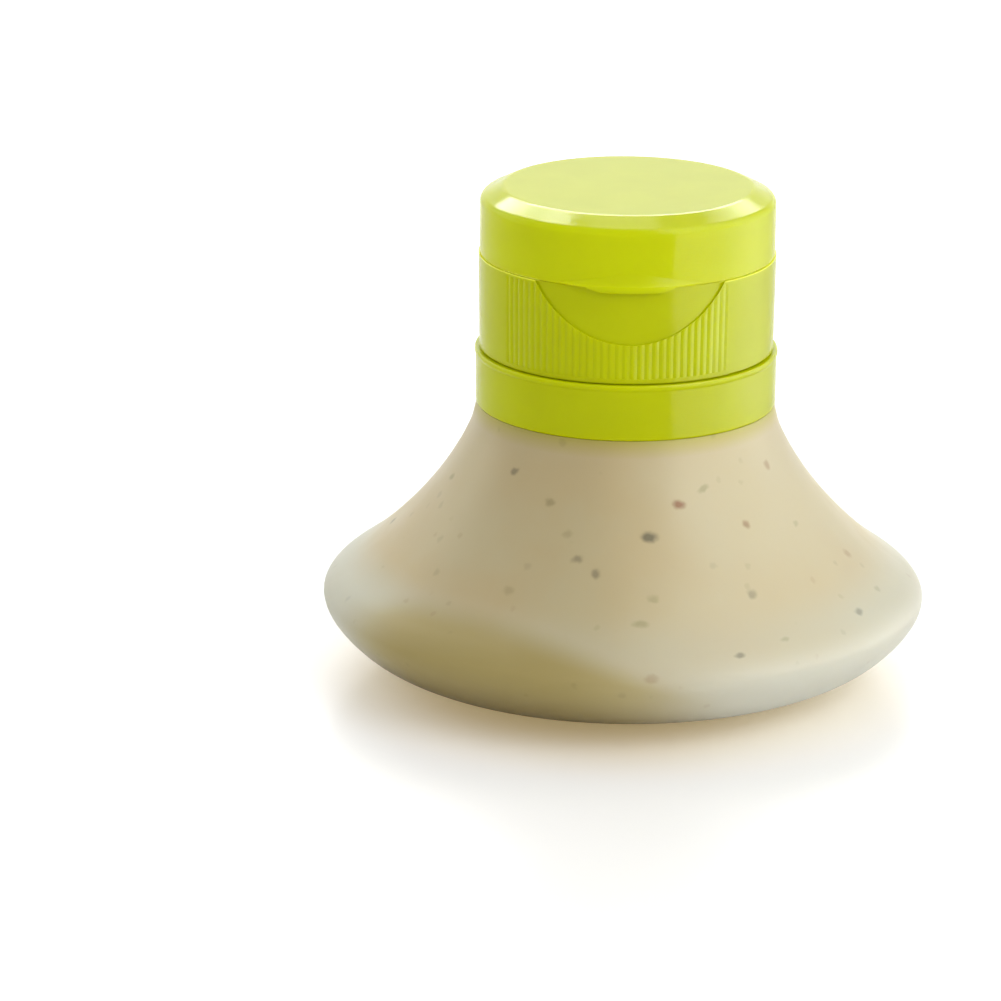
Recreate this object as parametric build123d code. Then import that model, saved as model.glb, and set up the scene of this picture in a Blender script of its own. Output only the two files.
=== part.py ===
from build123d import *
import os
from math import atan2, degrees, hypot, radians, sin, sqrt

# A squat squeeze bottle for dressings: a soft bell-shaped body, a collar round its neck,
# and a screw cap with a flip lid on a moulded hinge.
# Lengths are in millimetres and angles in degrees. The bottle stands on z = 0 with its
# axis on Z, and the lid's lip faces -Y.

# The cap's radius at its seam: the cap, the lid, the collar and the neck follow it
base_high_radius = 20.6

# Soft body, outside: the knots of its profile from the foot up to the collar.
# A flare is how far a knot stands out from the shoulder.
foot_radius = 20.0
underside_radius = 27.5
underside_height = 1.4
chine_radius = 35.6
chine_height = 3.9
bilge_radius = 39.7
bilge_height = 7.0
widest_radius = 42.15
widest_height = 11.7
brow_radius = 38.2
brow_height = 15.7
slope_radius = 31.8
slope_height = 21.2
waist_flare = 4.51
waist_height = 29.0
throat_flare = 1.11
throat_height = 35.0
shoulder_step = -0.1
shoulder_height = 39.1
foot_tangent = (1, 0.12)
shoulder_tangent = (-1, 6)
foot_recess_radius = 15.5
foot_recess_depth = 0.6

# Soft body, inside
base_wall = 2.8
nose_wall = 4.2
brow_wall = 3.0
side_wall = 2.3
neck_tangent = (-1, 1.6)
cavity_clearance = 0.4

# Neck sleeve: a 38 mm continuous thread above a barbed skirt
neck_wall = 2.85
thread_depth = 1.15
thread_pitch = 4.233
ridge_root_width = 2.3
ridge_crest_width = 1.1
ridge_root_depth = 0.25
ridge_start_clearance = 0.45
neck_turns = 1.5
neck_start_turns = 0.55
cap_turns = 1.25
thread_fade = 3.2
rim_chamfer = 0.4
flange_height = 1.4
skirt_wall = 1.6
skirt_height = 7.4
barb_reach = 0.3
barb_rise = 1.1
barb_pitch = 2.1
barb_count = 3
barb_start = 0.8

# Collar
collar_height = 7.85
collar_step = 0.33
collar_draft = 0.04
collar_edge = 0.3
collar_bead_reach = 0.14
collar_bead_height = 0.85
collar_squeeze = 0.05
collar_wall = 2.67
collar_rim_wall = 1.27
flange_play = 0.06

# Cap base
neck_gap = 0.1
base_draft = 0.18
base_height = 13.35
base_edge = 0.12
cap_wall = 1.57
deck_drop = 0.65
deck_thickness = 1.2
rim_play = 0.3
rim_wall = 0.8
rim_height = 1.1
catch_reach = 0.2
catch_height = 0.5
catch_half_angle = 16.0
thread_crest_play = 0.25
thread_root_play = 0.3
thread_flank_play = 0.12

# Grip ribs on the cap base, as the grooves between them
ribs_in_a_turn = 128
first_groove = -19
last_groove = 14
groove_depth = 0.12
groove_half_width = 0.4
groove_low_margin = 0.7
groove_high_margin = 0.35

# Thumb recess on the cap base
recess_inset = 0.35
recess_drop = 7.9
recess_half_angle = 38.6

# Spout in the middle of the deck, with its slit valve
mouth_radius = 4.6
spout_top_radius = 7.8
spout_draft = 0.6
spout_height = 4.4
spout_edge = 0.5
spout_wall = 1.2
spout_top_wall = 1.1
valve_flange_play = 0.2
valve_flange_height = 0.9
valve_waist_step = 0.4
valve_waist_height = 0.45
valve_head_play = 0.3
valve_head_height = 1.35
valve_rim_width = 0.6
valve_dish = 0.6
valve_skin = 0.55
slit_margin = 1.0
slit_width = 0.1
retainer_step = 0.2
retainer_squeeze = 0.05
retainer_height = 1.5
retainer_chamfer = 0.3

# Gasket between the cap's deck and the neck's rim
gasket_thickness = 1.0
gasket_inset = 0.2
gasket_margin = 0.5

# Flip lid
seam_gap = 0.05
lid_step = 0.18
lid_wall = 1.72
lid_wall_height = 7.85
lid_low_round = 0.15
lid_edge_round = 1.1
bevel_width = 3.1
bevel_height = 1.5
disc_edge_round = 1.2
lid_top_wall = 1.35
lid_inner_chamfer = 1.3
plug_play = 0.25
plug_wall = 0.75
plug_depth = 0.45
plug_chamfer = 0.25
lip_reach = 0.84
lip_edge_height = 0.35
lip_edge_round = 0.25
lip_flare_height = 2.0
lip_plan_radius = 16.1
lip_drop = 0.6
lip_drop_half_width = 4.0
lip_drop_root_half_width = 6.0
lip_drop_round = 2.0
lip_play = 0.2

# Moulded hinge at the back: a thin film between two pads, and a strap on each side
hinge_offset = 0.48
film_thickness = 0.34
film_half_width = 4.6
film_gap = 0.8
pad_half_width = 9.6
pad_root = 0.4
base_pad_height = 2.7
lid_pad_height = 2.4
strap_place = 7.3
strap_half_width = 1.1
strap_thickness = 0.5
strap_gap = 2.2
strap_inset = 0.35
strap_clearance = 0.3

# One overrun for every cut
over = 1.0

# Levels, from the floor up
collar_top = shoulder_height + collar_height
flange_low = collar_top - flange_height
skirt_low = flange_low - skirt_height
cavity_top = skirt_low - cavity_clearance
base_low = collar_top + neck_gap
seam = base_low + base_height
deck_top = seam - deck_drop
deck_low = deck_top - deck_thickness
neck_rim = deck_low - gasket_thickness
spout_top = deck_top + spout_height
valve_seat = spout_top - spout_top_wall
retainer_top = valve_seat - valve_flange_height
lid_low = seam + seam_gap
lid_edge = lid_low + lid_wall_height
lid_top = lid_edge + bevel_height
ceiling = lid_top - lid_top_wall

# Radii, from the cap inwards and down to the body
base_low_radius = base_high_radius - base_draft
collar_high_radius = base_high_radius + collar_step
collar_low_radius = collar_high_radius - collar_draft
cap_bore = base_low_radius - cap_wall
thread_crest_radius = cap_bore - thread_crest_play
thread_root_radius = thread_crest_radius - thread_depth
cap_ridge_radius = thread_root_radius + thread_root_play
neck_bore_radius = thread_root_radius - neck_wall
neck_outer_radius = collar_low_radius - collar_wall + collar_squeeze
skirt_radius = neck_bore_radius + skirt_wall
flange_radius = collar_high_radius - collar_rim_wall - flange_play
shoulder_radius = collar_low_radius + shoulder_step
throat_radius = shoulder_radius + throat_flare
waist_radius = shoulder_radius + waist_flare
gasket_inner_radius = neck_bore_radius + gasket_inset
gasket_outer_radius = cap_bore - gasket_margin

# Radii of the lid, and of the spout and what it holds
lid_radius = base_high_radius - lid_step
lid_bore = lid_radius - lid_wall
disc_radius = lid_radius - bevel_width
rim_radius = lid_bore - rim_play
plug_radius = mouth_radius - plug_play
spout_foot_radius = spout_top_radius + spout_draft
valve_bore_radius = spout_top_radius - spout_wall
valve_flange_radius = valve_bore_radius - valve_flange_play
valve_waist_radius = mouth_radius + valve_waist_step
valve_head_radius = mouth_radius - valve_head_play
valve_dish_radius = valve_head_radius - valve_rim_width
slit_length = 2 * (valve_dish_radius - slit_margin)
retainer_bore_radius = mouth_radius + retainer_step

# Places of the cap's thread and of the hinge
cap_ridge_height = base_low + ridge_start_clearance + ridge_root_width / 2
hinge_y = base_high_radius + hinge_offset
hinge_z = (seam + lid_low) / 2
pad_face = hinge_y + film_thickness / 2
pad_back = sqrt(lid_radius**2 - pad_half_width**2) - pad_root


def ring(inner, outer, low, high):
    wall = Cylinder(outer, high - low) - Cylinder(inner, high - low)
    return Pos(0, 0, (low + high) / 2) * wall


def block(x, y, z):
    """A box given by its low and high limits along X, Y and Z."""
    size = [high - low for low, high in (x, y, z)]
    centre = [(high + low) / 2 for low, high in (x, y, z)]
    return Pos(*centre) * Box(*size)


def turned(*lines, arc=360):
    """A solid of revolution about Z, from lines drawn as (radius, height)."""
    edges = [edge for line in lines for edge in line.edges()]
    return revolve(Plane.XZ * make_face(edges), Axis.Z, arc)


def turned_polygon(*corners, arc=360):
    return turned(Polyline(*corners, close=True), arc=arc)


def prism(corners, low, high):
    """An upright prism on a polygon given as (x, y)."""
    return Pos(0, 0, low) * extrude(make_face(Polyline(*corners, close=True)), high - low)


def inward(before, knot, after, wall):
    """The knot moved inside by a wall, square to the line between its neighbours."""
    run, rise = after[0] - before[0], after[1] - before[1]
    length = hypot(run, rise)
    return (knot[0] - wall * rise / length, knot[1] + wall * run / length)


def base_radius(height):
    """The cap base's outer radius at a height: it widens a little towards the seam."""
    share = (height - base_low) / base_height
    return base_low_radius + (base_high_radius - base_low_radius) * share


def thread(wall_radius, crest_radius, start_height, start_turns, turns):
    """A ridge on a right-hand helix, rooted inside the wall, with both ends faded out."""
    outward = 1 if crest_radius > wall_radius else -1
    root = wall_radius - outward * ridge_root_depth
    reach = crest_radius - root
    half_root, half_crest = ridge_root_width / 2, ridge_crest_width / 2
    path = Helix(thread_pitch, turns * thread_pitch, root)
    corners = ((0, -half_root), (reach, -half_crest), (reach, half_crest), (0, half_root))
    section = Plane(path @ 0, (1, 0, 0), path % 0) * make_face(Polyline(*corners, close=True))
    ridge = sweep(section, path, is_frenet=True)
    beyond = crest_radius + outward * over
    wedge = ((root, -over), (root, 0), (beyond, thread_fade), (beyond, -over))
    cutter = prism(wedge, -half_root - over, half_root + over)
    mirrored = prism([(x, -y) for x, y in wedge], -half_root - over, half_root + over)
    end = Pos(0, 0, turns * thread_pitch) * Rot(0, 0, 360 * turns) * mirrored
    return Pos(0, 0, start_height) * Rot(0, 0, 360 * start_turns) * (ridge - cutter - end)


def bottle_body():
    foot = (foot_radius, 0)
    underside = (underside_radius, underside_height)
    chine = (chine_radius, chine_height)
    bilge = (bilge_radius, bilge_height)
    widest = (widest_radius, widest_height)
    brow = (brow_radius, brow_height)
    slope = (slope_radius, slope_height)
    waist = (waist_radius, waist_height)
    throat = (throat_radius, throat_height)
    shoulder = (shoulder_radius, shoulder_height)
    outside = Spline(
        (foot, underside, chine, bilge, widest, brow, slope, waist, throat, shoulder),
        tangents=(foot_tangent, shoulder_tangent),
    )
    cavity_foot = (foot_radius, base_wall)
    cavity_knots = (
        cavity_foot,
        inward(underside, chine, bilge, base_wall),
        inward(bilge, widest, brow, nose_wall),
        inward(widest, brow, slope, brow_wall),
        inward(brow, slope, waist, side_wall),
        inward(slope, waist, throat, side_wall),
        (skirt_radius, cavity_top),
    )
    inside = Spline(cavity_knots, tangents=(foot_tangent, neck_tangent))
    base = Polyline(
        cavity_foot,
        (0, base_wall),
        (0, foot_recess_depth),
        (foot_recess_radius - foot_recess_depth, foot_recess_depth),
        (foot_recess_radius, 0),
        foot,
    )
    neck = Polyline(
        shoulder,
        (neck_outer_radius, shoulder_height),
        (neck_outer_radius, flange_low),
        (skirt_radius, flange_low),
        (skirt_radius, cavity_top),
    )
    return turned(base, outside, neck, inside)


def neck_sleeve():
    barbs = []
    for count in range(barb_count):
        height = skirt_low + barb_start + count * barb_pitch
        barbs += [
            (skirt_radius, height),
            (skirt_radius + barb_reach, height + barb_rise),
            (skirt_radius, height + barb_rise + barb_reach),
        ]
    sleeve = turned_polygon(
        (neck_bore_radius, skirt_low),
        (skirt_radius, skirt_low),
        *barbs,
        (skirt_radius, flange_low),
        (flange_radius, flange_low),
        (flange_radius, collar_top),
        (thread_root_radius, collar_top),
        (thread_root_radius, neck_rim - rim_chamfer),
        (thread_root_radius - rim_chamfer, neck_rim),
        (neck_bore_radius, neck_rim),
    )
    above = (ridge_root_width + ridge_crest_width) / 2 + thread_flank_play
    start = cap_ridge_height + above + (neck_start_turns - 1) * thread_pitch
    ridge = thread(thread_root_radius, thread_crest_radius, start, neck_start_turns, neck_turns)
    return sleeve + ridge


def collar_ring():
    bore = neck_outer_radius - collar_squeeze
    bead_low = collar_top - collar_bead_height
    bead_middle = collar_top - collar_bead_height / 2
    wall = Polyline(
        (collar_high_radius, collar_top),
        (flange_radius + flange_play, collar_top),
        (flange_radius + flange_play, flange_low),
        (bore, flange_low),
        (bore, shoulder_height),
        (collar_low_radius - collar_edge, shoulder_height),
    )
    low_edge = RadiusArc(wall @ 1, (collar_low_radius, shoulder_height + collar_edge), -collar_edge)
    side = Line(low_edge @ 1, (collar_high_radius, bead_low))
    bead = ThreePointArc(
        side @ 1,
        (collar_high_radius + collar_bead_reach, bead_middle),
        (collar_high_radius, collar_top),
    )
    return turned(wall, low_edge, side, bead)


def thumb_recess():
    """What the thumb recess takes out of the base: a round outline, cut to an even depth."""
    half_width = base_high_radius * sin(radians(recess_half_angle))
    outline_radius = (half_width**2 + recess_drop**2) / (2 * recess_drop)
    centre_height = seam - recess_drop + outline_radius
    bar = Plane((0, 0, centre_height), (1, 0, 0), (0, -1, 0)) * Cylinder(
        outline_radius, base_high_radius + over, align=(Align.CENTER, Align.CENTER, Align.MIN)
    )
    return bar - Cylinder(base_high_radius - recess_inset, 2 * (lid_top + over))


def grip_grooves():
    """Upright grooves between the ribs, leaning with the wall so that their depth is even."""
    low = base_low + groove_low_margin
    high = seam - groove_high_margin
    lean = degrees(atan2(base_high_radius - base_low_radius, base_height))
    radius = base_radius(low)
    corners = (
        (0, -radius + groove_depth),
        (groove_half_width, -radius),
        (groove_half_width, -radius - over),
        (-groove_half_width, -radius - over),
        (-groove_half_width, -radius),
    )
    upright = prism(corners, 0, high - low)
    groove = Pos(0, -radius, low) * Rot(lean, 0, 0) * Pos(0, radius, 0) * upright
    step = 360 / ribs_in_a_turn
    return [Rot(0, 0, step * count) * groove for count in range(first_groove, last_groove + 1)]


def hinge_pad(low, high, window_low, window_high):
    """A flat-backed pad at the back of a part, with a window cut for each strap."""
    pad = block((-pad_half_width, pad_half_width), (pad_back, pad_face), (low, high))
    reach = strap_half_width + strap_clearance
    for side in (-1, 1):
        place = side * strap_place
        window = block(
            (place - reach, place + reach),
            (pad_back - over, pad_face + over),
            (window_low, window_high),
        )
        pad -= window
    return pad


def cap_base():
    shell = turned_polygon(
        (cap_bore, base_low),
        (base_low_radius - base_edge, base_low),
        (base_low_radius, base_low + base_edge),
        (base_high_radius, seam),
        (rim_radius, seam),
        (rim_radius, seam + rim_height),
        (rim_radius - rim_wall, seam + rim_height),
        (rim_radius - rim_wall, deck_top),
        (spout_foot_radius, deck_top),
        (spout_top_radius, spout_top - spout_edge),
        (spout_top_radius - spout_edge, spout_top),
        (mouth_radius, spout_top),
        (mouth_radius, valve_seat),
        (valve_bore_radius, valve_seat),
        (valve_bore_radius, deck_low),
        (cap_bore, deck_low),
    )
    catch_top = seam + rim_height
    bump = turned_polygon(
        (rim_radius - rim_wall / 2, catch_top - catch_height),
        (rim_radius, catch_top - catch_height),
        (rim_radius + catch_reach, catch_top - catch_height / 2),
        (rim_radius, catch_top),
        (rim_radius - rim_wall / 2, catch_top),
        arc=2 * catch_half_angle,
    )
    catch = Rot(0, 0, -90 - catch_half_angle) * bump
    pad_top = hinge_z - film_gap / 2
    pad = hinge_pad(pad_top - base_pad_height, pad_top, hinge_z - strap_gap / 2, pad_top + over)
    pad -= Cylinder(base_low_radius, 2 * (lid_top + over))
    ridge = thread(cap_bore, cap_ridge_radius, cap_ridge_height, 0, cap_turns)
    body = shell + catch + pad + ridge
    for groove in grip_grooves():
        body -= groove
    return body - thumb_recess()


def lid_lip():
    """The lip before it is trimmed to the lid: a disc whose side flares out to its edge."""
    flare_low = (lip_plan_radius, lip_edge_height)
    flare_top = (lip_plan_radius - lip_reach, lip_edge_height + lip_flare_height)
    edge = FilletPolyline((0, 0), (lip_plan_radius, 0), flare_low, radius=lip_edge_round)
    flare = TangentArc(flare_top, flare_low, tangent=(0, -1))
    return turned(edge, flare, Polyline(flare_top, (0, flare_top[1]), (0, 0)))


def lip_middle():
    """The middle of the lip, which hangs a little lower in front of the thumb recess."""
    low, high = -lip_drop, lip_edge_height
    edge = FilletPolyline(
        (0, low), (lip_plan_radius, low), (lip_plan_radius, high), radius=lip_edge_round
    )
    disc = turned(edge, Polyline((lip_plan_radius, high), (0, high), (0, low)))
    root, half = lip_drop_root_half_width, lip_drop_half_width
    under = FilletPolyline((-root, 0), (-half, low), (half, low), (root, 0), radius=lip_drop_round)
    above = Polyline((root, 0), (root, high), (-root, high), (-root, 0))
    outline = Plane.XZ * make_face(under.edges() + above.edges())
    return disc & extrude(outline, 2 * lip_plan_radius)


def flip_lid():
    outside = FilletPolyline(
        (lid_bore, lid_low),
        (lid_radius, lid_low),
        (lid_radius, lid_edge),
        (disc_radius, lid_top),
        (0, lid_top),
        radius=(lid_low_round, lid_edge_round, disc_edge_round),
    )
    inside = Polyline(
        (0, lid_top),
        (0, ceiling),
        (plug_radius - plug_wall, ceiling),
        (plug_radius - plug_wall, spout_top - plug_depth),
        (plug_radius - plug_chamfer, spout_top - plug_depth),
        (plug_radius, spout_top - plug_depth + plug_chamfer),
        (plug_radius, ceiling),
        (lid_bore - lid_inner_chamfer, ceiling),
        (lid_bore, ceiling - lid_inner_chamfer),
        (lid_bore, lid_low),
    )
    shell = turned(outside, inside)
    lip_place = Pos(0, lip_plan_radius - lip_reach - lid_radius, lid_low)
    lip = lip_place * lid_lip()
    lip -= Cylinder((lid_radius + lid_bore) / 2, 2 * (lid_top + over))
    middle = lip_place * lip_middle()
    middle -= Cylinder(base_high_radius - recess_inset + lip_play, 2 * (lid_top + over))
    lip -= block((-lid_radius, lid_radius), (0, 2 * lid_radius), (0, lid_top))
    pad_low = hinge_z + film_gap / 2
    pad = hinge_pad(pad_low, pad_low + lid_pad_height, pad_low - over, hinge_z + strap_gap / 2)
    pad -= Cylinder((lid_radius + lid_bore) / 2, 2 * (lid_top + over))
    return shell + lip + middle + pad


def hinge_film():
    return block(
        (-film_half_width, film_half_width),
        (pad_face - film_thickness, pad_face),
        (hinge_z - film_gap / 2, hinge_z + film_gap / 2),
    )


def hinge_straps():
    face = pad_face - strap_inset
    straps = []
    for side in (-1, 1):
        straps.append(
            block(
                (side * strap_place - strap_half_width, side * strap_place + strap_half_width),
                (face - strap_thickness, face),
                (hinge_z - strap_gap / 2, hinge_z + strap_gap / 2),
            )
        )
    return Compound(straps)


def cap_gasket():
    return ring(gasket_inner_radius, gasket_outer_radius, neck_rim, deck_low)


def flow_valve():
    head_top = retainer_top + valve_head_height
    under = (valve_dish_radius, retainer_top)
    dish_edge = (valve_dish_radius, head_top)
    dish_middle = (0, head_top - valve_dish)
    skin_middle = (0, head_top - valve_dish - valve_skin)
    outer = Polyline(
        under,
        (valve_flange_radius, retainer_top),
        (valve_flange_radius, valve_seat),
        (valve_waist_radius, valve_seat),
        (valve_waist_radius, retainer_top + valve_waist_height),
        (valve_head_radius, retainer_top + valve_waist_height),
        (valve_head_radius, head_top),
        dish_edge,
    )
    dish = TangentArc(dish_middle, dish_edge, tangent=(1, 0))
    middle = Line(dish_middle, skin_middle)
    skin = Line(skin_middle, under)
    valve = turned(outer, dish, middle, skin)
    for angle in (0, 90):
        valve -= Rot(0, 0, angle) * Pos(0, 0, spout_top) * Box(slit_length, slit_width, spout_top)
    return valve


def valve_retainer():
    outer = valve_bore_radius + retainer_squeeze
    low = retainer_top - retainer_height
    return turned_polygon(
        (retainer_bore_radius, low),
        (outer - retainer_chamfer, low),
        (outer, low + retainer_chamfer),
        (outer, retainer_top),
        (retainer_bore_radius, retainer_top),
    )


parts = {
    "bottle_body": bottle_body(),
    "neck_sleeve": neck_sleeve(),
    "collar_ring": collar_ring(),
    "cap_base": cap_base(),
    "flip_lid": flip_lid(),
    "hinge_film": hinge_film(),
    "hinge_straps": hinge_straps(),
    "cap_gasket": cap_gasket(),
    "flow_valve": flow_valve(),
    "valve_retainer": valve_retainer(),
}

os.makedirs("parts", exist_ok=True)
for name, shape in parts.items():
    export_step(shape, f"parts/{name}.step")
    print(name, "volume", round(shape.volume), "mm3")
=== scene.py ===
import math

import bpy
import numpy as np
from mathutils import Matrix, Vector


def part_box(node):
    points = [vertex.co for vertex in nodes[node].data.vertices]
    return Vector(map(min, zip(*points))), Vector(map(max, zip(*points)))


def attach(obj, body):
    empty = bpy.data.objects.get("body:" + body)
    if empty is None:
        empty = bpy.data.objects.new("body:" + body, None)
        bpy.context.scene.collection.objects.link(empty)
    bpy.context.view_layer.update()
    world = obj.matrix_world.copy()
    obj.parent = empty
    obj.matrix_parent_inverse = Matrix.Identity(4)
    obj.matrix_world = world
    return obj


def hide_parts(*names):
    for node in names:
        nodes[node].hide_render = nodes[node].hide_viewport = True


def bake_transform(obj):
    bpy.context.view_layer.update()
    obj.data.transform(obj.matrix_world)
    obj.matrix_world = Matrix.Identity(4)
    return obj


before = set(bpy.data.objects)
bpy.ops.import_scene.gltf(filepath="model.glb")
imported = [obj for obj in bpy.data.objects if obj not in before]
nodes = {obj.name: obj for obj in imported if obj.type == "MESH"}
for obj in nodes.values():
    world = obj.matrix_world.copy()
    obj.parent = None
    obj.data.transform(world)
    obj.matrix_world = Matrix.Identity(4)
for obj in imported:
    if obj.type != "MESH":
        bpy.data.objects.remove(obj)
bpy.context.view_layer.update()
scene = bpy.context.scene
scene.view_settings.view_transform = "Standard"
mm = 0.001
white = (1.0, 1.0, 1.0, 1.0)
print("frame loaded:", len(nodes), "nodes")


# quads between the neighbours in a grid of points, where the point of row r and column c has
# the number r * columns + c
def gridFaces(rows, columns, wrapColumns=False):
    r = np.arange(rows - 1)[:, None]
    c = np.arange(columns if wrapColumns else columns - 1)[None, :]
    along = (c + 1) % columns
    corners = (r * columns + c, r * columns + along,
               (r + 1) * columns + along, (r + 1) * columns + c)
    spread = [np.broadcast_to(corner, (r.size, c.size)) for corner in corners]
    return np.stack(spread, -1).reshape(-1, 4)


# a tube of rows whose two open ends are closed by fans to two points that follow the grid's
def closedRows(rows, columns):
    column = np.arange(columns)
    beside, last, low = (column + 1) % columns, (rows - 1) * columns, rows * columns
    lowFan = np.stack([np.full(columns, low), beside, column], -1)
    highFan = np.stack([np.full(columns, low + 1), last + column, last + beside], -1)
    return gridFaces(rows, columns, wrapColumns=True).tolist() + lowFan.tolist() + highFan.tolist()


def makeMesh(name, points, faces, material):
    mesh = bpy.data.meshes.new(name)
    mesh.from_pydata(points.tolist(), [], list(faces))
    mesh.polygons.foreach_set("use_smooth", np.ones(len(mesh.polygons), bool))
    mesh.update()
    piece = bpy.data.objects.new(name, mesh)
    scene.collection.objects.link(piece)
    mesh.materials.append(material)
    return piece


# the node tree of a material or the world, with short ways to add and link nodes
class Shader:
    def __init__(self, owner, main="Principled BSDF", coordinates="Object"):
        owner.use_nodes = True
        self.owner, self.tree = owner, owner.node_tree
        self.main = self.tree.nodes[main]
        self.coordinates = self.node("TexCoord").outputs[coordinates]

    def feed(self, socket, value):
        if isinstance(value, bpy.types.NodeSocket):
            self.tree.links.new(value, socket)
        else:
            socket.default_value = value

    def node(self, kind, inputs=None, **settings):
        made = self.tree.nodes.new("ShaderNode" + kind)
        for setting, value in settings.items():
            setattr(made, setting, value)
        for socket, value in (inputs or {}).items():
            self.feed(made.inputs[socket], value)
        return made

    def along(self, axis):
        return self.node("SeparateXYZ", {"Vector": self.coordinates}).outputs[axis]

    def maths(self, operation, first, second=0.0, clamp=False):
        return self.node("Math", {0: first, 1: second},
                         operation=operation, use_clamp=clamp).outputs[0]

    def product(self, first, *others):
        for other in others:
            first = self.maths("MULTIPLY", first, other)
        return first

    def vector(self, operation, first, second=(0.0, 0.0, 0.0)):
        made = self.node("VectorMath", {0: first, 1: second}, operation=operation)
        return made.outputs["Value" if operation in ("LENGTH", "DOT_PRODUCT") else "Vector"]

    def ramp(self, value, fromLow, fromHigh, toLow=0.0, toHigh=1.0, smooth=True):
        return self.node("MapRange", {"Value": value, "From Min": fromLow, "From Max": fromHigh,
                                      "To Min": toLow, "To Max": toHigh},
                         interpolation_type="SMOOTHSTEP" if smooth else "LINEAR").outputs["Result"]

    def between(self, share, first, second):
        return self.ramp(share, 0.0, 1.0, first, second, smooth=False)

    def mix(self, share, first, second, blend="MIX"):
        return self.node("Mix", {0: share, 6: first, 7: second},
                         data_type="RGBA", blend_type=blend).outputs[2]

    # the tone times a tint, as far as the share says
    def tint(self, share, tone, tint):
        return self.mix(share, tone, self.mix(1.0, tone, tint, "MULTIPLY"))

    def noise(self, scale, detail, output="Fac"):
        return self.node("TexNoise", {"Vector": self.coordinates, "Scale": scale,
                                      "Detail": detail}).outputs[output]

    # soft patches: a ramp of the noise's values
    def patches(self, scale, detail, *reach):
        return self.ramp(self.noise(scale, detail), *reach)

    # a spot near the middle of some cells of a 3-D pattern, and none in the share left out
    def spots(self, scale, leftOut, near, far, strength, where):
        cells = self.node("TexVoronoi", {"Vector": where, "Scale": scale, "Randomness": 0.9})
        chosen = self.node("SeparateColor", {"Color": cells.outputs["Color"]}).outputs[0]
        return self.product(self.ramp(cells.outputs["Distance"], near, far, strength, 0.0),
                            self.maths("GREATER_THAN", chosen, leftOut))

    def bump(self, scale, detail, strength, distance):
        return self.node("Bump", {"Height": self.noise(scale, detail), "Strength": strength,
                                  "Distance": distance}).outputs["Normal"]

    def shader(self, **values):
        for socket, value in values.items():
            self.feed(self.main.inputs[socket.replace("_", " ")], value)

    # the plastic or paste that a piece's dictionary describes
    def surface(self, tone, roughness, look):
        self.shader(Base_Color=tone, Roughness=roughness, IOR=look["shine"],
                    Subsurface_Weight=look["scatter"], Subsurface_Radius=look["scatterColour"],
                    Subsurface_Scale=look["scatterReach"], Normal=self.bump(*look["grain"]))
        return self.owner


# a colour given as it looks on screen, from 0 to 255, in the shader's linear scale
def colour(red, green, blue):
    shares = [value / 255 for value in (red, green, blue)]
    return [s / 12.92 if s <= 0.04045 else ((s + 0.055) / 1.055) ** 2.4 for s in shares] + [1.0]


# In the dictionaries of the looks, lengths and heights are in metres. Patches, clouds and haze
# give a noise's scale and detail, the reach of its values and what that reach becomes; a grain
# gives a noise's scale and detail, and the bump's strength and distance.

# glossy lime plastic of the collar, the cap and the lid
lime = dict(
    main=colour(200, 208, 0),
    # the darker tone is painted shade for the parts below the lid's seam
    deep=colour(184, 191, 0),
    mainAbove=(0.0600, 0.0606),
    mainLeast=0.25,
    clouds=(90.0, 3.0, 0.35, 0.65, -0.25, 0.0),
    edge=colour(238, 245, 74),
    edgeLevel=0.06045,
    edgeReach=(0.00024, 0.00008),
    edgeInside=(0.0208, 0.0207),
    edgeBeside=(-0.0164, -0.0158),
    haze=(260.0, 4.0, 0.3, 0.7, 0.12, 0.19),
    grain=(2600.0, 2.0, 0.012, 0.00004),
    shine=1.2,
    scatter=0.7,
    scatterColour=(0.8, 1.0, 0.2),
    scatterReach=0.0018,
)


def limeMaterial():
    s = Shader(bpy.data.materials.new("limePlastic"))
    # painted shade: below the lid's seam the cap base and the collar get the darker tone, and the
    # moulding leaves a faint cloudiness
    height = s.along("Z")
    share = s.ramp(height, *lime["mainAbove"], lime["mainLeast"], 1.0)
    share = s.maths("ADD", share, s.patches(*lime["clouds"]), clamp=True)
    tone = s.mix(share, lime["deep"], lime["main"])
    # light gathers in the two edges of the lid's seam, but not in the lip and the recess
    off = s.maths("ABSOLUTE", s.maths("SUBTRACT", height, lime["edgeLevel"]))
    across = s.vector("LENGTH", s.vector("MULTIPLY", s.coordinates, (1, 1, 0)))
    edge = s.product(s.ramp(off, *lime["edgeReach"]), s.ramp(across, *lime["edgeInside"]),
                     s.ramp(s.along("Y"), *lime["edgeBeside"]))
    tone = s.mix(edge, tone, lime["edge"])
    return s.surface(tone, s.patches(*lime["haze"]), lime)


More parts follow.
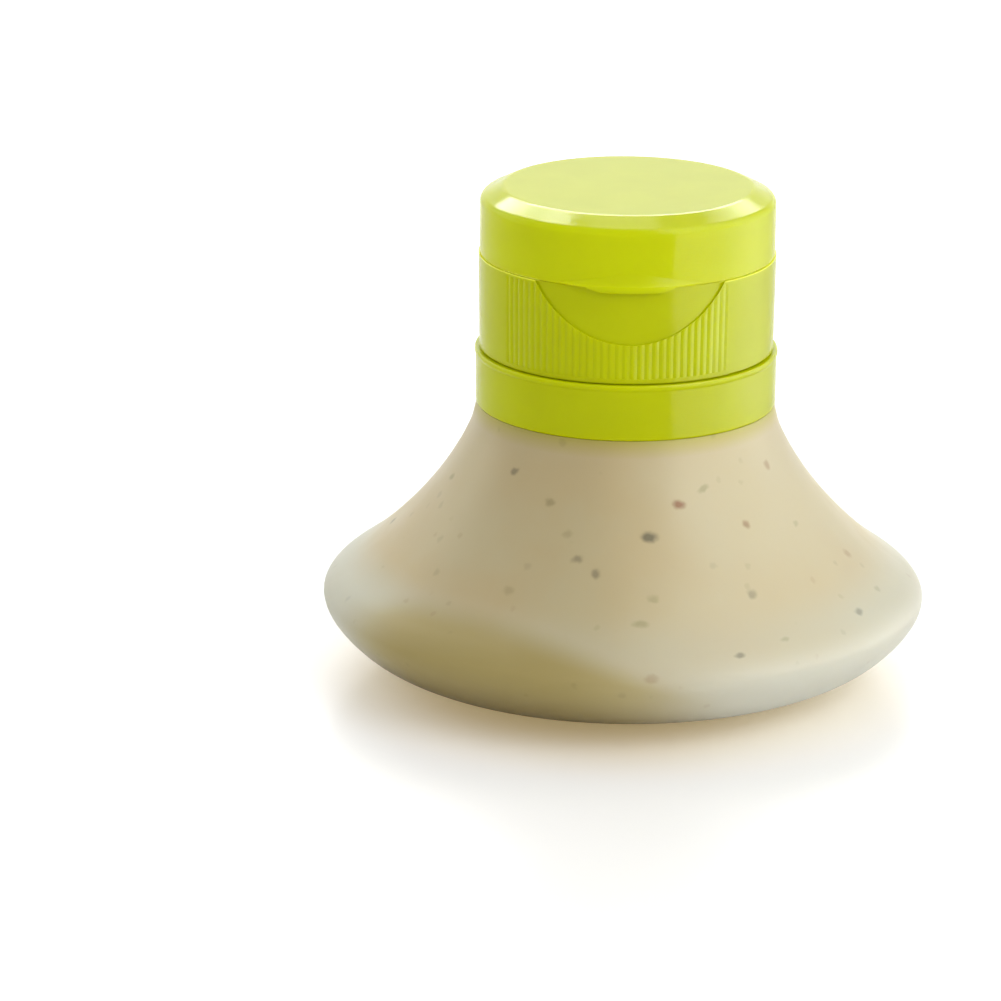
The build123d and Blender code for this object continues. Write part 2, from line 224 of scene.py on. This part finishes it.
# milky silicone of the body: the cream dressing shows through where the wall is thin, and the
# thick nose is milkier. A facing is an azimuth from the front, and how squarely a point faces
# it where a zone starts and where it is full. A top is the zone's upper level, where the zone
# starts and where it is full.
silicone = dict(
    cream=colour(189, 176, 139),
    warm=colour(188, 171, 131),
    warmPatches=(55.0, 3.0, 0.35, 0.7),
    milk=colour(188, 188, 170),
    milkFacing=(0.0, 0.45, 0.9),
    milkShares=(0.9, 0.36),
    milkBelow=(0.0195, 0.0145),
    milkPatches=(70.0, 2.0, 0.3, 0.7, 0.85, 1.0),
    litFacing=(62.0, 0.42, 0.88),
    litCream=colour(199, 193, 168),
    litCreamShare=0.3,
    litMilk=colour(202, 200, 184),
    litMilkBelow=(0.0150, 0.0105),
    # painted shade low on the front's left, below a slanting line
    lowLeftShade=colour(168, 152, 97),
    lowLeftShadeFacing=(-38.0, 0.45, 1.0),
    lowLeftShadeInside=(0.1, 0.9),
    lowLeftShadeTop=(0.0076, 0.0186),
    lowLeftShadeFade=0.0034,
    frontFacing=(0.0, 0.3, 0.7),
    dullTint=(0.895, 0.89, 0.87, 1.0),
    dullFacing=(-30.0, 0.84, 0.99),
    # painted shade near the foot, and painted shade with a painted lime reflection just under the
    # collar
    footShadeTint=(0.62, 0.56, 0.46, 1.0),
    footFacing=(-38.0, 0.2, 1.0),
    footTop=(0.0048, 0.0114),
    footFade=0.0075,
    collarShadeAndReflection=(0.84, 0.87, 0.34, 1.0),
    collarReach=0.0024,
    fleckEdge=(0.4, 1.6),
    fleckWave=(900.0, 1.0),
    fleckWarp=0.0007,
    smallFleckEdge=(0.07, 0.19),
    haze=(140.0, 4.0, 0.3, 0.7, 0.34, 0.43),
    grain=(420.0, 3.0, 0.03, 0.0002),
    shine=1.41,
    gloss=0.26,
    scatter=0.25,
    scatterColour=(1.0, 0.8, 0.5),
    scatterReach=0.0015,
)
pepper, chilli = (0.26, 0.28, 0.30, 1.0), (0.50, 0.28, 0.22, 1.0)
herb = (0.55, 0.57, 0.47, 1.0)
flecks = (
    # azimuth from the front, height, length and width in mm, tilt, tint, strength
    (-43.0, 33.5, 1.2, 0.9, 30, pepper, 0.60),
    (-26.0, 30.7, 1.3, 1.1, 0, herb, 0.60),
    (6.1, 27.3, 2.0, 1.4, 0, pepper, 0.85),
    (16.7, 30.9, 1.6, 1.3, -15, chilli, 0.90),
    (26.4, 32.5, 1.8, 0.8, 25, herb, 0.55),
    (-14.0, 24.6, 1.5, 1.1, 20, pepper, 0.50),
    (-8.5, 23.1, 1.2, 1.3, 0, pepper, 0.55),
    (-18.2, 27.3, 1.4, 1.0, 0, herb, 0.35),
    (-29.5, 20.3, 1.5, 1.2, 0, herb, 0.35),
    (38.0, 27.5, 1.1, 1.1, 0, chilli, 0.55),
    (58.2, 33.2, 1.2, 1.3, 60, chilli, 0.45),
    (57.3, 25.8, 1.1, 0.8, 0, herb, 0.40),
    (70.0, 20.3, 1.4, 1.5, 0, chilli, 0.35),
    (30.6, 20.0, 1.4, 1.3, 0, pepper, 0.45),
    (5.8, 20.5, 1.4, 1.1, 0, herb, 0.40),
    (2.5, 17.9, 2.0, 1.0, 0, herb, 0.50),
    (21.7, 14.3, 1.5, 0.8, 5, pepper, 0.62),
    (32.8, 15.1, 1.3, 0.8, 0, herb, 0.45),
    (55.4, 15.4, 1.4, 1.2, 0, pepper, 0.55),
    (68.0, 16.1, 1.2, 1.0, 0, herb, 0.40),
    (4.0, 12.4, 1.6, 1.1, 0, chilli, 0.30),
    (101.6, 27.0, 1.8, 1.2, 20, pepper, 0.70),
    (124.6, 21.5, 1.3, 1.1, 0, chilli, 0.70),
    (142.6, 31.0, 1.4, 0.9, -30, herb, 0.55),
    (161.6, 24.0, 1.9, 1.2, 10, pepper, 0.75),
    (179.6, 18.5, 1.2, 1.0, 0, herb, 0.55),
    (-159.4, 29.0, 1.3, 1.2, 0, chilli, 0.75),
    (-137.4, 19.5, 1.5, 1.0, 15, pepper, 0.60),
    (-114.4, 26.0, 1.4, 0.8, -20, herb, 0.60),
    (-93.4, 20.5, 1.2, 1.1, 0, pepper, 0.55),
    (-75.4, 29.5, 1.5, 1.0, 25, herb, 0.55),
)
smallFlecks = (
    # scale of the pattern, share of its cells left out, tint, strength
    (300.0, 0.76, herb, 0.2),
    (240.0, 0.84, pepper, 0.15),
    (270.0, 0.88, chilli, 0.15),
)


# how far from the axis a ray along X meets a node at a height, and infinite where it doesn't
def radiusAt(node, height, start, way):
    hit, place, _, _ = nodes[node].ray_cast(Vector((start, 0.0001, height)), Vector((way, 0, 0)))
    return place.x if hit else math.inf


def siliconeMaterial():
    s = Shader(bpy.data.materials.new("milkySilicone"))
    height = s.along("Z")
    outwards = s.vector("NORMALIZE", s.vector("MULTIPLY", s.coordinates, (1, 1, 0)))

    # a ramp of how squarely a point faces an azimuth: fully is 1, and a quarter turn off is 0
    def towards(azimuth, *reach, smooth=True):
        turn = math.radians(azimuth)
        facing = s.vector("DOT_PRODUCT", outwards, (math.sin(turn), -math.cos(turn), 0))
        return s.ramp(facing, *reach, smooth=smooth)

    # the share below a level that slants up towards an azimuth
    def below(facing, top, fade):
        depth = s.maths("SUBTRACT", towards(*facing, *top, smooth=False), height)
        return s.ramp(s.maths("DIVIDE", depth, fade, clamp=True), 0.0, 1.0)

    tone = s.mix(s.patches(*silicone["warmPatches"]), silicone["cream"], silicone["warm"])
    # the milk of the thick nose is thin in front and strong at the sides
    milk = s.product(towards(*silicone["milkFacing"], *silicone["milkShares"]),
                     s.ramp(height, *silicone["milkBelow"]), s.patches(*silicone["milkPatches"]))
    tone = s.mix(milk, tone, silicone["milk"])
    # light that comes through the wall from the right makes it milkier, most under the nose
    lit = towards(*silicone["litFacing"])
    tone = s.mix(s.product(lit, silicone["litCreamShare"]), tone, silicone["litCream"])
    lit = s.product(lit, s.ramp(height, *silicone["litMilkBelow"]))
    tone = s.mix(lit, tone, silicone["litMilk"])
    # painted shade: on the front's left, below a slanting line, the wall is painted a darker,
    # duller olive
    inside = s.ramp(towards(*silicone["lowLeftShadeFacing"], smooth=False), *silicone["lowLeftShadeInside"])
    lowLeftShade = below(silicone["lowLeftShadeFacing"], silicone["lowLeftShadeTop"], silicone["lowLeftShadeFade"])
    lowLeftShade = s.product(lowLeftShade, inside, towards(*silicone["frontFacing"]))
    tone = s.mix(lowLeftShade, tone, silicone["lowLeftShade"])
    # the light comes from the right, so the dressing looks duller a little left of the front
    tone = s.tint(towards(*silicone["dullFacing"]), tone, silicone["dullTint"])

    # the flecks are soft at their edges, since the wall lies over them, and a wavy place makes
    # each one's outline its own
    wave = s.vector("SUBTRACT", s.noise(*silicone["fleckWave"], "Color"), (0.5, 0.5, 0.5))
    wave = s.vector("MULTIPLY", wave, 3 * (silicone["fleckWarp"],))
    where = s.vector("ADD", s.coordinates, wave)
    for azimuth, level, length, width, tilt, tint, strength in flecks:
        turn, reach = math.radians(azimuth), radiusAt("bottle_body", level * mm, 1.0, -1.0)
        place = (reach * math.sin(turn), -reach * math.cos(turn), level * mm)
        size = (length / 2 * mm, width / 2 * mm, width / 2 * mm)
        own = s.node("Mapping", {"Vector": where, "Location": place, "Scale": size,
                                 "Rotation": (0.0, math.radians(-tilt), turn)},
                     vector_type="TEXTURE").outputs[0]
        share = s.ramp(s.vector("LENGTH", own), *silicone["fleckEdge"], strength, 0.0)
        tone = s.tint(share, tone, tint)
    for scale, leftOut, tint, strength in smallFlecks:
        share = s.spots(scale, leftOut, *silicone["smallFleckEdge"], strength, where)
        tone = s.tint(share, tone, tint)

    # painted shade: the wall is darker close to the foot, from higher up on the left; just under
    # the collar it is darker and tinted lime, painted shade and a painted reflection of the collar
    foot = below(silicone["footFacing"], silicone["footTop"], silicone["footFade"])
    tone = s.tint(foot, tone, silicone["footShadeTint"])
    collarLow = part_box("collar_ring")[0][2]
    collar = s.ramp(height, collarLow - silicone["collarReach"], collarLow, smooth=False)
    tone = s.tint(collar, tone, silicone["collarShadeAndReflection"])
    s.shader(Specular_IOR_Level=silicone["gloss"])
    return s.surface(tone, s.patches(*silicone["haze"]), silicone)


# moulded parts inside the cap and the neck
plain = dict(
    darkPatches=(200.0, 3.0, 0.3, 0.7),
    darkShare=0.97,
    grain=(1800.0, 2.0, 0.02, 0.00004),
    shine=1.49,
    scatterColour=(1.0, 1.0, 1.0),
    scatterReach=0.001,
)


def plainMaterial(name, main, roughness, scatter):
    s = Shader(bpy.data.materials.new(name))
    dark = [plain["darkShare"] * part for part in main[:3]] + [1.0]
    tone = s.mix(s.patches(*plain["darkPatches"]), dark, main)
    return s.surface(tone, roughness, dict(plain, scatter=scatter))


limePlastic = limeMaterial()
neckPlastic = plainMaterial("neckPlastic", colour(236, 236, 228), 0.35, 0.1)
finishes = {
    "bottle_body": siliconeMaterial(),
    "neck_sleeve": neckPlastic,
    "valve_retainer": neckPlastic,
    "collar_ring": limePlastic,
    "cap_base": limePlastic,
    "flip_lid": limePlastic,
    "hinge_film": limePlastic,
    "hinge_straps": limePlastic,
    "cap_gasket": plainMaterial("gasketRubber", colour(228, 228, 220), 0.5, 0.1),
    "flow_valve": plainMaterial("valveSilicone", colour(232, 234, 228), 0.3, 0.3),
}
for name, finish in finishes.items():
    nodes[name].data.materials.clear()
    nodes[name].data.materials.append(finish)
print("materials set")


# the dressing that fills the hollow
dressing = dict(
    main=colour(204, 189, 150),
    warm=colour(207, 182, 141),
    warmPatches=(160.0, 3.0, 0.4, 0.7),
    # scale of the pattern, share of its cells left out, reach of the edge, strength
    flecks=(350.0, 0.6, 0.12, 0.24, 0.7),
    roughness=0.3,
    grain=(700.0, 3.0, 0.2, 0.0003),
    shine=1.4,
    scatter=0.2,
    scatterColour=(1.0, 0.8, 0.5),
    scatterReach=0.0015,
    floorLevel=0.0028,
    fillLevel=0.0445,
    wallGap=0.00006,
    wallRows=72,
    wallPower=1.25,
    overlap=0.00012,
    bowlDepth=0.0006,
    bowlPower=6,
    endRings=10,
    columns=128,
)


def dressingMaterial():
    s = Shader(bpy.data.materials.new("creamDressing"))
    tone = s.mix(s.patches(*dressing["warmPatches"]), dressing["main"], dressing["warm"])
    tone = s.tint(s.spots(*dressing["flecks"], s.coordinates), tone, pepper)
    return s.surface(tone, dressing["roughness"], dressing)


# how far from the axis the hollow reaches at a height
def hollowRadius(height):
    return min(radiusAt(node, height, 0.0001, 1.0) for node in ("bottle_body", "neck_sleeve"))


# a turned surface: x = r cos(a), y = r sin(a), where r is the hollow's radius and a little
# more, closed by a flat floor and by a shallow bowl at the fill level
def makeDressing():
    low, top, over = dressing["floorLevel"], dressing["fillLevel"], dressing["overlap"]
    rise = np.linspace(0, 1, dressing["wallRows"]) ** dressing["wallPower"]
    heights = low + dressing["wallGap"] + (top - low) * rise
    radii = np.array([hollowRadius(float(h)) for h in heights]) + over
    inward = np.linspace(1.0, 0.0, dressing["endRings"] + 2)[1:-1]
    bowl = heights[-1] - dressing["bowlDepth"] * (1 - inward ** dressing["bowlPower"])
    radius = np.concatenate([radii[0] * inward[::-1], radii, radii[-1] * inward])
    level = np.concatenate([np.full(inward.size, low - over), heights, bowl])
    turn = np.linspace(0, 2 * np.pi, dressing["columns"], endpoint=False)
    x, y = radius[:, None] * np.cos(turn), radius[:, None] * np.sin(turn)
    z = np.broadcast_to(level[:, None], x.shape)
    points = np.stack([x, y, z], -1).reshape(-1, 3)
    ends = np.array([[0, 0, level[0]], [0, 0, level[-1]]])
    piece = makeMesh("dressing", np.vstack([points, ends]),
                     closedRows(radius.size, turn.size), dressingMaterial())
    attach(piece, "bottle")


makeDressing()
print("dressing made")


# the moulded hinge: a film necked in its middle, and a strap on each side of it; both are bands
# across the joint
hinge = dict(
    strapWidth=0.0022,
    strapNeck=0.12,
    filmNeck=0.35,
    root=0.00012,
    cornerPower=0.2,
    sectionPoints=48,
    rows=41,
)


# a band: x = half width * sgn(cos t)|cos t|**p, y = half thickness * sgn(sin t)|sin t|**p times
# the neck's share, where a small p leaves the corners just rounded, carried up along z
def bandPoints(low, high, neck):
    t = np.linspace(0, 2 * np.pi, hinge["sectionPoints"], endpoint=False)
    rise = np.linspace(0, 1, hinge["rows"])[:, None]
    middle, half = (low + high) / 2, (high - low) / 2
    across, deep = (np.sign(side) * np.abs(side) ** hinge["cornerPower"]
                    for side in (np.cos(t), np.sin(t)))
    thick = 1 - neck * np.cos(np.pi * (rise - 0.5)) ** 2
    length = high[2] - low[2] + 2 * hinge["root"]
    x = np.broadcast_to(middle[0] + half[0] * across, (rise.size, t.size))
    y = middle[1] + half[1] * thick * deep
    z = np.broadcast_to(low[2] - hinge["root"] + length * rise, x.shape)
    points = np.stack([x, y, z], -1).reshape(-1, 3)
    ends = np.array([[middle[0], middle[1], z[0, 0]], [middle[0], middle[1], z[-1, 0]]])
    return np.vstack([points, ends])


def makeHinge():
    faces = closedRows(hinge["rows"], hinge["sectionPoints"])
    low, high = (np.array(corner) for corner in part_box("hinge_film"))
    film = makeMesh("hingeFilm", bandPoints(low, high, hinge["filmNeck"]), faces, limePlastic)
    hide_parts("hinge_film")
    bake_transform(film)
    low, high = (np.array(corner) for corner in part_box("hinge_straps"))
    width = np.array([hinge["strapWidth"], 0, 0])
    leftHigh, rightLow = np.array([low[0], *high[1:]]), np.array([high[0], *low[1:]])
    leftBand = bandPoints(low, leftHigh + width, hinge["strapNeck"])
    rightBand = bandPoints(rightLow - width, high, hinge["strapNeck"])
    further = [[corner + len(leftBand) for corner in face] for face in faces]
    straps = makeMesh("hingeStraps", np.vstack([leftBand, rightBand]), faces + further, limePlastic)
    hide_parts("hinge_straps")
    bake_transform(straps)


makeHinge()
print("hinge made")


# the camera stands where the photograph was taken from
view = dict(
    place=(-17.33, -670.5, 233.5),  # in mm
    pitch=17.34,  # degrees below the horizon
    roll=0.37,
    focalPixels=5000,
    widthPixels=1001,
    sensor=36.0,
    clip=(0.01, 30.0),
)


def makeCamera():
    pitch, roll = math.radians(view["pitch"]), math.radians(view["roll"])
    right = Vector((1, 0, 0))
    up = Vector((0, math.sin(pitch), math.cos(pitch)))
    ahead = Vector((0, math.cos(pitch), -math.sin(pitch)))
    rolledRight = right * math.cos(roll) + up * math.sin(roll)
    rolledUp = up * math.cos(roll) - right * math.sin(roll)
    turn = Matrix((rolledRight, rolledUp, -ahead)).transposed().to_4x4()
    data = bpy.data.cameras.new("camera")
    data.sensor_width, data.sensor_fit = view["sensor"], "HORIZONTAL"
    data.lens = view["focalPixels"] / view["widthPixels"] * view["sensor"]
    data.clip_start, data.clip_end = view["clip"]
    camera = bpy.data.objects.new("camera", data)
    scene.collection.objects.link(camera)
    camera.matrix_world = Matrix.Translation(Vector(view["place"]) * mm) @ turn
    scene.camera = camera


# the stage: table, world and lamps; azimuth 0 is the camera's side and 90 its right, and the
# window is the part of the world behind the bottle and low down
studio = dict(
    worldLight=0.76,
    worldZenith=0.62,
    zenithHeight=(0.3, 0.9),
    mirrored=1.0,
    mirroredWindow=1.6,
    windowDepth=(0.3, 0.8),
    windowHeight=(0.75, 0.4),
    floorHalf=3.0,
    floorDrop=0.00002,
    floorColour=(0.9, 0.9, 0.9, 1.0),
    floorRoughness=0.22,
    floorShine=1.33,
    floorLift=0.2,
    # painted warm light near the foot, then a painted shade a little farther out
    floorWarm=(1.5, 1.12, 0.5, 1.0),
    floorPale=(0.92, 0.91, 0.88, 1.0),
    floorPaleReach=(0.027, 0.052),
    floorPlainReach=(0.060, 0.110),
    lampAim=0.035,
    lamps=(
        # name, azimuth, elevation, distance, width, height, power
        ("backBox", 184.0, 38.0, 0.8, 0.5, 0.22, 1.4),
        ("rightBox", 45.0, 30.0, 0.75, 0.5, 0.5, 2.1),
        ("leftBox", -112.0, 25.0, 0.75, 0.5, 0.5, 0.8),
    ),
    cardNearDepth=-0.015,
    cardColumns=24,
    cards=(
        # name, azimuth from and to, distance, height from and to, brightness near and far
        ("cardRight", 32.5, 140.0, 0.14, 0.0, 0.9, 7.0, 1.1),
        ("cardBehind", 150.0, 216.0, 0.8, 0.46, 1.0, 11.0, 11.0),
        ("cardLeft", 186.0, 216.0, 0.8, 1.0, 1.35, 20.0, 20.0),
        ("cardOver", 160.0, 200.0, 0.3, 0.5, 1.5, 6.0, 6.0),
    ),
)


# a soft box that faces the bottle
def makeLamp(name, azimuth, elevation, distance, width, height, power):
    data = bpy.data.lights.new(name, "AREA")
    data.shape, data.size, data.size_y, data.energy = "RECTANGLE", width, height, power
    lamp = bpy.data.objects.new(name, data)
    scene.collection.objects.link(lamp)
    a, e = math.radians(azimuth), math.radians(elevation)
    away = Vector((math.sin(a) * math.cos(e), -math.cos(a) * math.cos(e), math.sin(e)))
    lamp.location = away * distance + Vector((0, 0, studio["lampAim"]))
    lamp.rotation_euler = away.to_track_quat("Z", "Y").to_euler()


# white cards out of the picture that show only in the gloss: x = d sin(a), y = -d cos(a),
# from the card's lower to its upper height
def makeCard(name, left, right, distance, low, high, nearLevel, farLevel):
    turn = np.radians(np.linspace(left, right, studio["cardColumns"]))
    x, y = distance * np.sin(turn), -distance * np.cos(turn)
    points = np.stack([np.tile(x, 2), np.tile(y, 2), np.repeat([low, high], x.size)], -1)
    s = Shader(bpy.data.materials.new(name))
    level = s.ramp(s.along("Y"), studio["cardNearDepth"], float(y.max()), nearLevel, farLevel)
    glow = s.node("Emission", {"Color": white, "Strength": level}).outputs[0]
    s.feed(s.tree.nodes["Material Output"].inputs["Surface"], glow)
    card = makeMesh(name, points, gridFaces(2, x.size), s.owner)
    card.visible_camera = card.visible_diffuse = False
    card.visible_shadow = card.visible_transmission = False


# white to the camera, plain light on the surfaces, and a brighter window that only gloss shows
def makeWorld():
    scene.world = bpy.data.worlds.new("world")
    s = Shader(scene.world, "Background", "Generated")
    path, height = s.node("LightPath").outputs, s.along("Z")
    window = s.product(s.ramp(s.along("Y"), *studio["windowDepth"]),
                       s.ramp(height, *studio["windowHeight"]))
    around = s.ramp(height, *studio["zenithHeight"], studio["worldLight"], studio["worldZenith"])
    mirrored = s.between(window, studio["mirrored"], studio["mirroredWindow"])
    level = s.between(path["Is Glossy Ray"], around, mirrored)
    for kind in ("Is Transmission Ray", "Is Camera Ray"):
        level = s.between(path[kind], level, 1.0)
    s.shader(Color=white, Strength=level)


def makeFloor():
    s = Shader(bpy.data.materials.new("whiteTable"))
    # the camera sees a little more than the lamps give, so that the bare table is white; near the
    # foot that extra is warm, painted light like the light that the dressing lets through, and a
    # little farther out it is paler and weaker, a painted shade, before the plain white
    away = s.vector("LENGTH", s.coordinates)
    glow = s.mix(s.ramp(away, *studio["floorPaleReach"]), studio["floorWarm"], studio["floorPale"])
    glow = s.mix(s.ramp(away, *studio["floorPlainReach"]), glow, white)
    lift = s.product(s.node("LightPath").outputs["Is Camera Ray"], studio["floorLift"])
    s.shader(Base_Color=studio["floorColour"], Roughness=studio["floorRoughness"],
             IOR=studio["floorShine"], Emission_Color=glow, Emission_Strength=lift)
    side = studio["floorHalf"] * np.array([-1.0, 1.0])
    x, y = np.meshgrid(side, side)
    points = np.stack([x, y, np.full_like(x, -studio["floorDrop"])], -1).reshape(-1, 3)
    floor = makeMesh("table", points, gridFaces(2, 2), s.owner)


makeCamera()
makeWorld()
makeFloor()
for lamp in studio["lamps"]:
    makeLamp(*lamp)
for card in studio["cards"]:
    makeCard(*card)
print("stage set")
